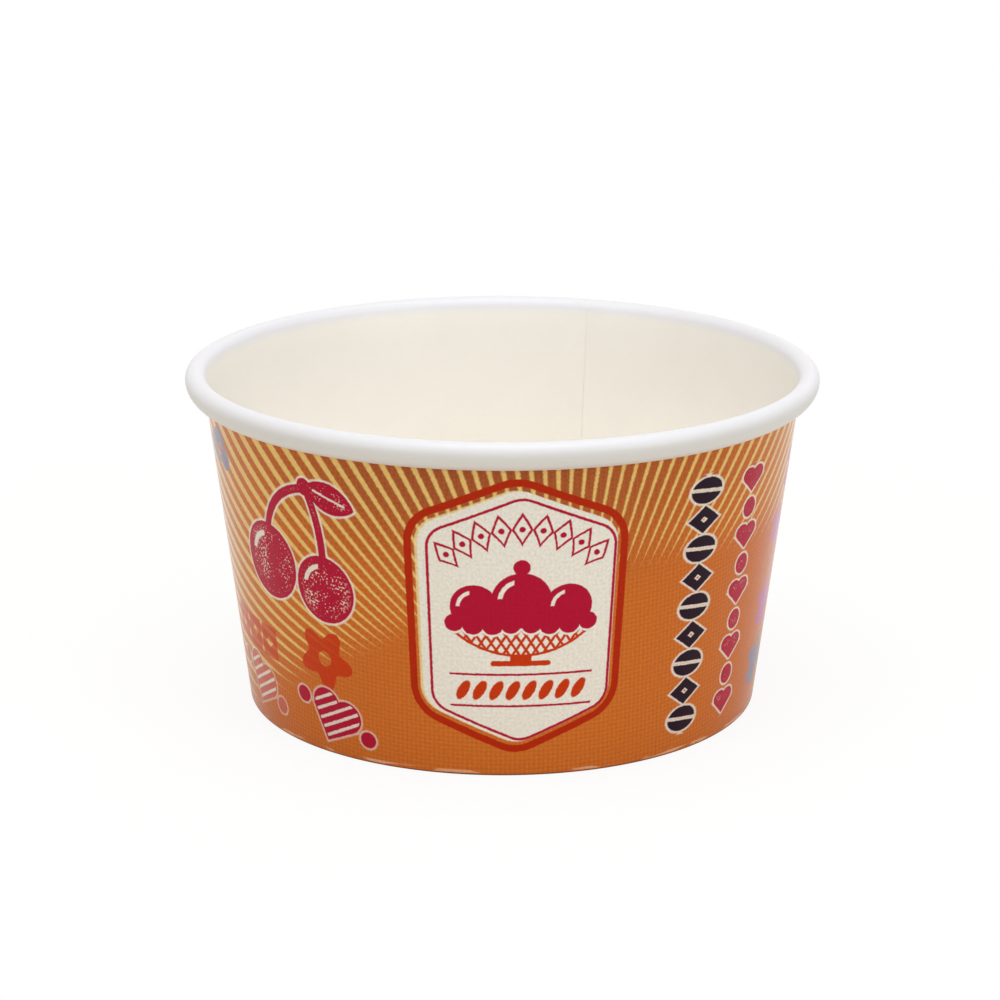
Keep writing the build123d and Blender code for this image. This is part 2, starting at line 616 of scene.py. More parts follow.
class Sheet:
    """The flat blank on the press, which takes one ink after the other.

    Motifs read their place on it as place, which wanders a little as ink does that soaks
    into board, or as upright, which is laid out round the cup and up its wall.
    """

    middle: float = 24.0
    mesh_period: float = 0.66
    wander_scale: float = 2.2
    wander: float = 0.16
    soft_edge: float = 0.2
    outline_strength: float = 0.8
    grain_size: float = 0.36
    patch_size: float = 3.4
    grain_share: float = 0.80
    patch_share: float = 0.40
    worn_from: float = 0.675
    worn_to: float = 0.71
    wear_inset: float = 0.9
    wear_blur: float = 1.2
    cloud_size: float = 0.42
    unevenness: float = 0.42
    screen: float = 0.02

    def __init__(self, bench: Bench, sizes: CupSizes) -> None:
        """Starts from bare ground colour.

        Args:
            bench: Makes the nodes.
            sizes: The cup's sizes, which give the blank's.
        """
        self.bench = bench
        self.tip = sizes.blank_radius
        self.true_place = bench.blank()
        self.place = self._wandering(self.true_place)
        self.up = self.true_place.from_(0.0, -self.tip).length() - self.tip
        seen = self.place.from_(0.0, -self.tip)
        self.upright = bench.spot(seen.bearing() * (self.tip + self.middle), seen.length() - self.tip)
        self.mesh = self._mesh()
        self.grains = self._grains()
        self.colour: Input = linear(Ink.ORANGE.value)

    def _wandering(self, place: Spot) -> Spot:
        """The place with the small wander of ink that soaks into board."""
        inputs = {"Vector": place, "Scale": self.wander_scale, "Detail": 1.0}
        noise = self.bench.node("ShaderNodeTexNoise", {}, inputs).outputs["Color"]
        return place.plus(Spot(self.bench, noise).from_(0.5, 0.5).scaled(self.wander, self.wander))

    def _mesh(self) -> Wire:
        """The fine woven screen of the ground, from -1 to 1."""
        turn = FULL_TURN / self.mesh_period
        return ((self.true_place.x * turn).sine() + (self.true_place.y * turn).sine()) * 0.5

    def _grains(self) -> Wire:
        """1 where a distressed shape has lost its ink, in grains that gather in patches."""
        fine = self.bench.grain(self.true_place, self.grain_size, 3.0)
        patch = self.bench.grain(self.true_place, self.patch_size, 1.0)
        both = fine * self.grain_share + patch * self.patch_share
        return both.ramp(self.worn_from, self.worn_to)

    def lay(self, ink: Ink, cover: Numeric) -> None:
        """Lays one ink over what is printed so far."""
        self.colour = self.bench.mix(self.colour, linear(ink.value), cover)

    def outlined(self, shape: Wire, ink: Ink, outline: float, wear: float = 0.0) -> None:
        """Prints a shape with a pale line round it.

        Args:
            shape: Distance from the shape's edge.
            ink: The shape's colour.
            outline: Width of the pale line.
            wear: How much of the shape's ink is missing in grains.
        """
        self.lay(Ink.CREAM, (shape - outline).inside(self.soft_edge) * self.outline_strength)
        cover = shape.inside()
        if wear:
            cover = cover * (1 - self.grains * ((shape + self.wear_inset).inside(self.wear_blur) * wear))
        self.lay(ink, cover)

    def printed(self) -> NodeSocket:
        """Prints everything, with the painted highlight and shadow at the fold and the painted shade in the
        brown under the rim, and returns the colour, uneven as ink on board is.
        """
        backdrop = (Ground(), Sunburst(), FoldHighlightAndShadow())
        for motif in (*backdrop, Cherries(), LeftStrip(), DarkColumn(), RedColumn(), RightStrip(), Panel()):
            motif.draw(self)
        cloud = self.bench.grain(self.true_place, self.cloud_size, 3.0) * self.unevenness
        mean = 1 - self.unevenness / 2
        return self.bench.shade(self.colour, self.mesh * self.screen + cloud + mean)


@dataclass(frozen=True)
class Ground:
    """Orange ground with its screen, browner towards the top of the front: partly print, partly painted shade
    under the rim.
    """

    x: float = -2.0
    y: float = 47.0
    squeeze: float = 0.40
    reach: float = 24.0
    core: float = 1.5
    strength: float = 0.85
    screen: float = 0.10
    level: float = 0.97

    def draw(self, sheet: Sheet) -> None:
        """Prints the ground, with painted shade under the rim in its brown.

        Args:
            sheet: The blank.
        """
        from_top = sheet.place.from_(self.x, self.y).scaled(self.squeeze, 1.0).length()
        # Brown towards the top of the front: partly print, partly painted shade under the rim.
        sheet.lay(Ink.BROWN_AND_RIM_SHADE, from_top.ramp(self.reach, self.core) * self.strength)
        sheet.colour = sheet.bench.shade(sheet.colour, sheet.mesh * self.screen + self.level)


@dataclass(frozen=True)
class Sunburst:
    """Gold rays from behind the panel, thin near their centre, where they break up."""

    x: float = 7.8
    y: float = 4.95
    stretch: float = 1.04
    count: int = 146
    phase: float = 0.67
    left_share: float = 0.0082
    right_share: float = 0.0070
    most_share: float = 0.47
    rise: float = 0.046
    left_spread: float = 0.025
    right_spread: float = 0.004
    faint_from: float = 0.80
    full_from: float = 1.45
    screen: float = 0.05
    breakup: float = 0.55
    blur: float = 0.22
    faint_strength: float = 0.62
    full_strength: float = 0.97

    def draw(self, sheet: Sheet) -> None:
        """Prints the rays.

        Args:
            sheet: The blank.
        """
        seen = sheet.place.from_(self.x, self.y).scaled(1.0 / self.stretch, 1.0)
        left = seen.x < 0.0
        radius = seen.length()
        cycle = (seen.bearing() * (self.count / FULL_TURN) + self.phase).part()
        share = radius * (left * (self.left_share - self.right_share) + self.right_share)
        off_centre = abs(cycle - 0.5) - share.least(self.most_share) * 0.5
        spread = left * (self.left_spread - self.right_spread) + self.right_spread
        full = (seen.y * self.rise + abs(seen.x) * spread).ramp(self.faint_from, self.full_from)
        edge = off_centre * (radius * (FULL_TURN / self.count)) + sheet.mesh * self.screen
        rays = (edge + (1 - full) * self.breakup).inside(self.blur)
        gain = self.full_strength - self.faint_strength
        sheet.lay(Ink.GOLD, rays * (full * gain + self.faint_strength))


@dataclass(frozen=True)
class FoldHighlightAndShadow:
    """Painted highlight in patches along the fold at the foot, and painted shadow along the fold's underside,
    where the cup meets the floor.
    """

    strip_up: float = 0.64
    strip_half: float = 0.2
    strip_strength: float = 0.6
    # Patches that break up the painted highlight.
    highlight_patch_size: float = 0.9
    highlight_patch_stretch: Pair = (0.12, 0.6)
    highlight_patch_from: float = 0.52
    highlight_patch_to: float = 0.60
    fold_shadow_from: float = 0.44
    fold_shadow_to: float = 0.32
    fold_shadow_strength: float = 0.9

    def draw(self, sheet: Sheet) -> None:
        """Paints the highlight and the shadow at the fold.

        Args:
            sheet: The blank.
        """
        highlight_patches = sheet.bench.grain(sheet.true_place.scaled(*self.highlight_patch_stretch), self.highlight_patch_size)
        strip = (abs(sheet.up - self.strip_up) - self.strip_half).inside(sheet.soft_edge)
        # Painted highlight of the fold's gloss, in patches just above the edge.
        sheet.lay(Ink.FOLD_HIGHLIGHT, strip * highlight_patches.ramp(self.highlight_patch_from, self.highlight_patch_to) * self.strip_strength)
        # Painted shadow: a dark line along the fold's underside, where the cup meets the floor.
        sheet.lay(Ink.FOLD_SHADOW, sheet.up.ramp(self.fold_shadow_from, self.fold_shadow_to) * self.fold_shadow_strength)


@dataclass(frozen=True)
class Arc:
    """A curved stroke: the part of a round line that lies inside an upright block."""

    x: float
    y: float
    radius: float
    stroke: float
    left: float
    low: float
    right: float
    high: float

    def edge(self, place: Spot) -> Wire:
        """Distance from the stroke's edge."""
        line = abs(place.disc(self.x, self.y, self.radius)) - self.stroke / 2
        return line.most(place.block(self.left, self.low, self.right, self.high))


@dataclass(frozen=True)
class Cherries:
    """Two cherries on their stems with a leaf, at the upper left."""

    fruit: Triple = (-37.2, 25.6, 5.7)
    second_fruit: Triple = (-26.2, 24.6, 5.0)
    knot: Triple = (-29.3, 39.3, 1.3)
    stems: tuple[Arc, ...] = (
        Arc(-27.6, 29.4, 9.75, 1.3, -40.0, 29.0, -28.6, 45.0),
        Arc(-50.0, 28.0, 23.7, 1.3, -31.0, 28.0, -20.0, 39.6),
    )
    shines: tuple[Arc, ...] = (
        Arc(-37.2, 25.6, 3.9, 0.8, -45.0, 26.2, -38.4, 35.0),
        Arc(-26.2, 24.6, 3.4, 0.7, -35.0, 25.2, -27.2, 35.0),
    )
    leaf: Pair = (-25.0, 38.6)
    leaf_size: Pair = (8.6, 4.4)
    leaf_tilt: float = -14.0
    vein: Triple = (5.6, 0.3, 0.15)
    outline: float = 0.32
    wear: float = 0.85
    shine_strength: float = 0.9

    def draw(self, sheet: Sheet) -> None:
        """Prints the cherries.

        Args:
            sheet: The blank.
        """
        place = sheet.place
        leaf = place.from_(*self.leaf).turned(self.leaf_tilt)
        round_parts = place.discs(self.fruit, self.second_fruit, self.knot)
        stems = (stem.edge(place) for stem in self.stems)
        shape = joined(round_parts, *stems, leaf.leaf(*self.leaf_size))
        sheet.outlined(shape, Ink.CRIMSON, self.outline, self.wear)
        shines = (shine.edge(place) for shine in self.shines)
        sheet.lay(Ink.CREAM, joined(*shines, leaf.bar(*self.vein)).inside() * self.shine_strength)


@dataclass(frozen=True)
class LeftStrip:
    """A flower, striped hearts with dots, tiles and a small ring cloud, at the left.

    Each heart has its place, its tilt, its ink and how strong it is.
    """

    flower: Pair = (-26.6, 13.8)
    flower_tilt: float = -10.0
    flower_radius: float = 4.9
    flower_hole: float = 1.15
    flower_strength: float = 0.94
    hearts: tuple[tuple[float, float, float, Ink, float], ...] = (
        (-25.2, 4.9, -18.0, Ink.CRIMSON, 1.0),
        (-42.6, 3.9, -14.0, Ink.VERMILION, 0.8),
    )
    pip: Triple = (6.1, 0.0, 1.25)
    line: float = 0.3
    line_strength: float = 0.5
    stripe_way: Pair = (0.75, -0.66)
    stripe_strength: float = 0.85
    stripe_period: float = 1.35
    stripe_half: float = 0.22
    row: Pair = (-43.8, 11.4)
    row_tilt: float = 4.0
    tile_period: float = 4.7
    tile_count: int = 3
    tile_half_width: float = 2.1
    tile_half_height: float = 2.5
    tile_hole: float = 1.0
    tile_strength: float = 0.8
    cloud: tuple[Triple, ...] = (
        (-54.6, 36.6, 2.2),
        (-52.0, 37.6, 2.7),
        (-50.0, 36.2, 1.8),
    )
    cloud_hole: Triple = (-52.0, 37.0, 1.0)
    cloud_strength: float = 0.9

    def draw(self, sheet: Sheet) -> None:
        """Prints the strip.

        Args:
            sheet: The blank.
        """
        seen = sheet.place.from_(*self.flower).turned(self.flower_tilt)
        flower = seen.bloom(self.flower_radius).most(self.flower_hole - seen.length())
        sheet.lay(Ink.VERMILION, flower.inside() * self.flower_strength)
        for x, y, tilt, ink, strength in self.hearts:
            self._striped_heart(sheet, sheet.place.from_(x, y).turned(tilt), ink, strength)
        self._tiles(sheet)
        cloud = sheet.place.discs(*self.cloud).most(0.0 - sheet.place.disc(*self.cloud_hole))
        sheet.lay(Ink.GREY, cloud.inside() * self.cloud_strength)

    def _striped_heart(self, sheet: Sheet, place: Spot, ink: Ink, strength: float) -> None:
        """Prints one heart with a dot on each side.

        Args:
            sheet: The blank.
            place: The place as seen from the heart.
            ink: The heart's colour.
            strength: How strong the ink is.
        """
        heart = place.heart()
        both = heart.least(place.folded_x().disc(*self.pip))
        sheet.lay(Ink.CREAM, (both - self.line).inside(sheet.soft_edge) * self.line_strength)
        sheet.lay(ink, both.inside() * strength)
        stripes = (place.along(*self.stripe_way) / self.stripe_period).part()
        stripe = abs(stripes - 0.5) * self.stripe_period - self.stripe_half
        sheet.lay(Ink.CREAM, stripe.inside() * (heart + self.line).inside() * self.stripe_strength)

    def _tiles(self, sheet: Sheet) -> None:
        """Prints the row of tiles, each with a hole on its point.

        Args:
            sheet: The blank.
        """
        row = sheet.place.from_(*self.row).turned(self.row_tilt)
        cell, ends = row.x.cells(self.tile_period, self.tile_count)
        across, up = abs(cell), abs(row.y)
        block = (across - self.tile_half_width).most(up - self.tile_half_height)
        tile = shared(block, self.tile_hole - across - up, ends)
        sheet.lay(Ink.VERMILION, tile.inside() * self.tile_strength)


@dataclass(frozen=True)
class DarkColumn:
    """An upright chain of dark beans and squares on their points, at the right."""

    x: float = 29.2
    y: float = 22.6
    period: float = 4.32
    count: int = 9
    outline: float = 0.30
    wear: float = 0.0
    ink: Ink = Ink.AUBERGINE
    bean_squeeze: float = 0.686
    bean_radius: float = 1.92
    slit_half: float = 0.27
    slit_way: Pair = (0.12, 1.0)
    square_way: Pair = (0.60, 0.84)
    square_size: float = 1.725
    hole_size: float = 0.39
    hole_slope: float = 0.75

    def draw(self, sheet: Sheet) -> None:
        """Prints the chain, whose two ornaments take turns.

        Args:
            sheet: The blank.
        """
        seen = sheet.upright.from_(self.x, self.y)
        cell, ends = seen.y.cells(self.period, self.count)
        second = (seen.y / (2 * self.period) + self.count / 4).part() > 0.5
        first_shape, second_shape = self.ornaments(sheet.bench.spot(seen.x, cell))
        shape = first_shape * (1 - second) + second_shape * second
        sheet.outlined(shape.most(ends), self.ink, self.outline, self.wear)

    def ornaments(self, place: Spot) -> tuple[Wire, Wire]:
        """The two ornaments of the chain: a bean with a slit and a square with a hole.

        Args:
            place: The place as seen from the middle of an ornament.

        Returns:
            The distances from their edges.
        """
        bean = place.scaled(self.bean_squeeze, 1.0).length() - self.bean_radius
        slit = self.slit_half - abs(place.along(*self.slit_way))
        size = place.folded().along(*self.square_way)
        hole = (self.hole_size - size) / self.hole_slope
        return bean.most(slit), (size - self.square_size).most(hole)


@dataclass(frozen=True)
class RedColumn(DarkColumn):
    """An upright chain of crimson hearts and dots, beside the dark one."""

    x: float = 39.2
    y: float = 22.4
    period: float = 4.24
    wear: float = 0.45
    ink: Ink = Ink.CRIMSON
    heart_scale: Pair = (1.7, 2.1)
    heart_rise: float = 0.2
    dot: float = 1.5

    def ornaments(self, place: Spot) -> tuple[Wire, Wire]:
        """The two ornaments of the chain: a heart, drawn smaller, and a dot."""
        heart = place.scaled(*self.heart_scale).from_(0.0, self.heart_rise).heart()
        return heart / (sum(self.heart_scale) / 2), place.disc(0.0, 0.0, self.dot)


@dataclass(frozen=True)
class RightStrip:
    """Faded flowers at the right: place, radius, ink and strength of each."""

    flowers: tuple[tuple[float, float, float, Ink, float], ...] = (
        (52.4, 28.8, 3.2, Ink.PURPLE, 0.85),
        (51.4, 17.0, 4.0, Ink.PURPLE, 0.85),
        (51.0, 8.0, 4.2, Ink.GREY, 0.95),
        (57.5, 37.0, 4.6, Ink.CRIMSON, 0.95),
    )

    def draw(self, sheet: Sheet) -> None:
        """Prints the flowers.

        Args:
            sheet: The blank.
        """
        for x, y, radius, ink, strength in self.flowers:
            sheet.lay(ink, sheet.upright.from_(x, y).bloom(radius).inside() * strength)


@dataclass(frozen=True)
class Panel:
    """The plain framed panel on the front: a long hexagon with points above and below.

    Its outline is a core with sharp corners and all that lies within a radius of it, so
    that the border and the lines inside it run parallel. The plates of its inks are a
    little out of register.
    """

    x: float = 1.94
    y: float = 24.2
    half_width: float = 15.05
    half_height: float = 20.9
    shoulder: float = 14.45
    rounding: float = 5.8
    border: float = 1.08
    field_inset: float = 1.7
    line_inset: float = 2.47
    line_width: float = 0.41
    field_blur: float = 0.16
    yellow_strength: float = 0.8
    field_shift: Pair = (0.17, -0.08)
    yellow_shift: Pair = (-0.21, 0.04)
    ink_shift: Pair = (0.68, -0.52)

    def edge(self, place: Spot) -> Wire:
        """Distance from the panel's outer edge.

        Args:
            place: A place as seen from the panel's centre.

        Returns:
            The distance, below zero inside.
        """
        rise = self.half_height - self.shoulder
        slope = math.hypot(rise, self.half_width)
        across, up = rise / slope, self.half_width / slope
        reach = self.half_height * up - self.rounding
        seen = place.folded()
        side = seen.x - (self.half_width - self.rounding)
        slant = seen.along(across, up) - reach
        far_slant = seen.along(-across, up) - reach
        nearest = side.most(slant)
        corner = (side.least(slant) - nearest * across).most(0.0) / up
        peak_turn = 2 * math.asin(across)
        peak = (far_slant - slant * math.cos(peak_turn)).most(0.0) / math.sin(peak_turn)
        return place.bench.spot(nearest.most(0.0), corner, peak).length() - self.rounding

    def draw(self, sheet: Sheet) -> None:
        """Prints the panel and what stands on it.

        Args:
            sheet: The blank.
        """
        seen = sheet.upright.from_(self.x, self.y)
        border = abs(self.edge(seen) + self.border / 2) - self.border / 2
        sheet.lay(Ink.FRAME_RED, border.inside())
        yellow = self.edge(seen.from_(*self.yellow_shift)) + self.field_inset
        sheet.lay(Ink.PALE_YELLOW, yellow.inside(sheet.soft_edge) * self.yellow_strength)
        field_edge = self.edge(seen.from_(*self.field_shift)) + self.field_inset
        sheet.lay(Ink.CREAM, field_edge.inside(self.field_blur))
        inked = seen.from_(*self.ink_shift)
        line = abs(self.edge(inked) + self.line_inset) - self.line_width / 2
        sheet.lay(Ink.CRIMSON, line.inside())
        for motif in (Garland(), Dish(), Rope()):
            motif.draw(sheet, inked)


@dataclass(frozen=True)
class Garland:
    """A thin arched row of open diamonds with a dot in each."""

    radius: float = 14.8
    top: float = 13.6
    period: float = 10.6
    count: int = 9
    size: float = 1.12
    across: float = 0.9
    out: float = 0.52
    half_line: float = 0.17
    dot: float = 0.42

    def draw(self, sheet: Sheet, seen: Spot) -> None:
        """Prints the garland.

        Args:
            sheet: The blank.
            seen: The place as seen from the panel's centre.
        """
        centre = seen.from_(0.0, self.top - self.radius)
        cell, ends = centre.bearing().cells(math.radians(self.period), self.count)
        around = cell * self.radius
        out = centre.length() - self.radius
        size = abs(around) * self.across + abs(out) * self.out
        diamond = abs(size - self.size) - self.half_line
        dot = (around * around + out * out).root() - self.dot
        sheet.lay(Ink.CRIMSON, diamond.least(dot).most(ends * self.radius).inside())


@dataclass(frozen=True)
class Dish:
    """A wide footed dish with three scoops, the dish hatched like a wafer."""

    bowl: Triple = (0.0, 8.6, 13.9)
    brim: float = -0.9
    stem_up: float = -5.6
    stem: Triple = (3.0, 1.4, 0.3)
    foot_up: float = -6.3
    foot: Triple = (8.4, 0.8, 0.4)
    hatch_way: Pair = (0.84, 0.54)
    hatch_period: float = 1.15
    hatch_share: float = 0.17
    line_inset: float = 0.18
    line_half: float = 0.2
    pale_bowl: float = 0.4
    pale_scoops: float = 0.3
    scoops: tuple[Triple, ...] = ((6.4, 2.1, 3.3), (0.0, 3.1, 4.1), (0.0, 8.0, 1.15))
    frill: tuple[Triple, ...] = (
        (9.2, -0.3, 1.3),
        (6.6, -0.5, 1.5),
        (3.9, -0.5, 1.5),
        (1.4, -0.4, 1.4),
    )
    shines: tuple[Arc, ...] = (
        Arc(-6.4, 2.1, 2.2, 0.5, -12.0, 2.2, -7.0, 8.0),
        Arc(0.0, 3.1, 2.9, 0.6, -6.0, 3.4, -1.0, 9.0),
        Arc(6.4, 2.1, 2.2, 0.5, 0.0, 2.2, 5.8, 8.0),
    )

    def draw(self, sheet: Sheet, seen: Spot) -> None:
        """Prints the dish.

        Args:
            sheet: The blank.
            seen: The place as seen from the panel's centre.
        """
        bowl = seen.disc(*self.bowl).most(seen.y - self.brim)
        stem = seen.from_(0.0, self.stem_up).bar(*self.stem)
        foot = seen.from_(0.0, self.foot_up).bar(*self.foot)
        across, up = self.hatch_way
        slants = ((seen.along(way, up) / self.hatch_period).part() for way in (across, -across))
        hatch = (joined(*(abs(slant - 0.5) for slant in slants)) - self.hatch_share) * self.hatch_period
        outline = abs(bowl + self.line_inset) - self.line_half
        sheet.lay(Ink.CREAM, (bowl - self.pale_bowl).inside())
        sheet.lay(Ink.VERMILION, joined(hatch.most(bowl), outline, stem, foot).inside())
        scoops = seen.folded_x().discs(*self.scoops, *self.frill)
        sheet.lay(Ink.CREAM, (scoops - self.pale_scoops).inside())
        sheet.lay(Ink.CRIMSON, scoops.inside())
        sheet.lay(Ink.CREAM, joined(*(shine.edge(seen) for shine in self.shines)).inside())


@dataclass(frozen=True)
class Rope:
    """Two thin rules with a row of slanting leaves between them."""

    x: float = 0.1
    y: float = -10.4
    rule_up: float = 2.4
    half_line: float = 0.17
    half_length: float = 10.1
    period: float = 2.34
    count: int = 8
    slant: float = 0.42
    squareness: float = 0.92
    across: float = 1.25
    along: float = 0.34
    size: float = 0.86

    def draw(self, sheet: Sheet, seen: Spot) -> None:
        """Prints the rules and the leaves.

        Args:
            sheet: The blank.
            seen: The place as seen from the panel's centre.
        """
        low = seen.from_(self.x, self.y)
        rules = abs(abs(low.y) - self.rule_up) - self.half_line
        sheet.lay(Ink.CRIMSON, rules.most(abs(low.x) - self.half_length).inside())
        cell, ends = low.x.cells(self.period, self.count)
        across = (cell - low.y * self.slant) * self.squareness
        leaf = (across * across * self.across + low.y * low.y * self.along).root() - self.size
        sheet.lay(Ink.VERMILION, leaf.most(ends).inside())


# Finishes


@dataclass(frozen=True)
class PrintedFace:
    """Printed outer face of the board, under a satin varnish.

    A relief, here and below, has a depth in millimetres and a strength.
    """

    sizes: CupSizes
    name: str = "printed_board"
    roughness: float = 0.27
    roughness_swing: float = 0.14
    cloud_size: float = 2.6
    pore_size: float = 0.22
    pore_share: float = 0.7
    relief: Pair = (0.012, 0.7)
    varnish: float = 1.12
    varnish_roughness: float = 0.2

    def material(self) -> Material:
        """Makes the finish."""
        made = bpy.data.materials.new(self.name)
        bench = Bench(made)
        sheet = Sheet(bench, self.sizes)
        cloud = bench.grain(sheet.true_place, self.cloud_size)
        pores = bench.grain(sheet.true_place, self.pore_size)
        height = pores * self.pore_share + cloud * (1 - self.pore_share)
        bench.finish(
            {
                "Base Color": sheet.printed(),
                "Roughness": cloud.times_plus(self.roughness_swing, self.roughness),
                "Normal": bench.bump(height, *self.relief),
                "IOR": self.varnish,
                "Coat Weight": 1.0,
                "Coat IOR": self.varnish,
                "Coat Roughness": self.varnish_roughness,
            }
        )
        return made


@dataclass(frozen=True)
class CoatedFace:
    """Plain white inner face of the board, sealed with a thin film.

    Its tone carries painted light, each change between two places above the foot in millimetres:
    painted shade that darkens it up the wall, a cooler, greyer painted shade over the rim and
    a darker painted shade under the rim.
    """

    name: str = "coated_board"
    tone: str = "FFFCF5"
    # Painted light: shade darkening the wall towards the top, a cool grey shade over the rim and a darker
    # shade under it.
    upper: tuple[str, float, float] = ("F3EEE5", 24.0, 46.0)
    rim: tuple[str, float, float] = ("E9E8EC", 47.4, 49.4)
    under: tuple[str, float, float] = ("DAD6CE", 50.9, 53.2)
    foot_radius: float = 0.0
    fibre_size: float = 0.5
    fibre_stretch: Pair = (0.35, 1.0)
    fibre_share: float = 0.6
    fibre_tone: float = 0.035
    cloud_size: float = 7.0
    cloud_tone: float = 0.03
    level: float = 0.965
    roughness: float = 0.36
    roughness_swing: float = 0.12
    relief: Pair = (0.02, 0.6)
    film: float = 1.4

    def material(self) -> Material:
        """Makes the finish."""
        made = bpy.data.materials.new(self.name)
        bench = Bench(made)
        place = bench.blank()
        up = place.from_(0.0, -self.foot_radius).length() - self.foot_radius
        fibre = bench.grain(place.scaled(*self.fibre_stretch), self.fibre_size, 4.0)
        cloud = bench.grain(place, self.cloud_size)
        colour = linear(self.tone)
        # Lays the painted shade up the wall, over the rim and under the rim.
        for tone, start, end in (self.upper, self.rim, self.under):
            colour = bench.mix(colour, linear(tone), up.ramp(start, end))
        level = fibre * self.fibre_tone + cloud * self.cloud_tone + self.level
        height = fibre * self.fibre_share + cloud * (1 - self.fibre_share)
        bench.finish(
            {
                "Base Color": bench.shade(colour, level),
                "Roughness": cloud.times_plus(self.roughness_swing, self.roughness),
                "Normal": bench.bump(height, *self.relief),
                "IOR": self.film,
            }
        )
        return made


@dataclass(frozen=True)
class CutEdge:
    """Bare fibres of the board where it was cut."""

    name: str = "cut_edge"
    tone: str = "F8F4EC"
    dark: str = "EDE6D8"
    fibre_size: float = 0.12
    fade: Pair = (0.3, 0.6)
    roughness: float = 0.9
    relief: Pair = (0.03, 0.8)

    def material(self) -> Material:
        """Makes the finish."""
        made = bpy.data.materials.new(self.name)
        bench = Bench(made)
        fibre = bench.grain(bench.solid(), self.fibre_size, 3.0)
        bench.finish(
            {
                "Base Color": bench.mix(linear(self.dark), linear(self.tone), fibre.ramp(*self.fade)),
                "Roughness": self.roughness,
                "Normal": bench.bump(fibre, *self.relief),
            }
        )
        return made


# The pieces


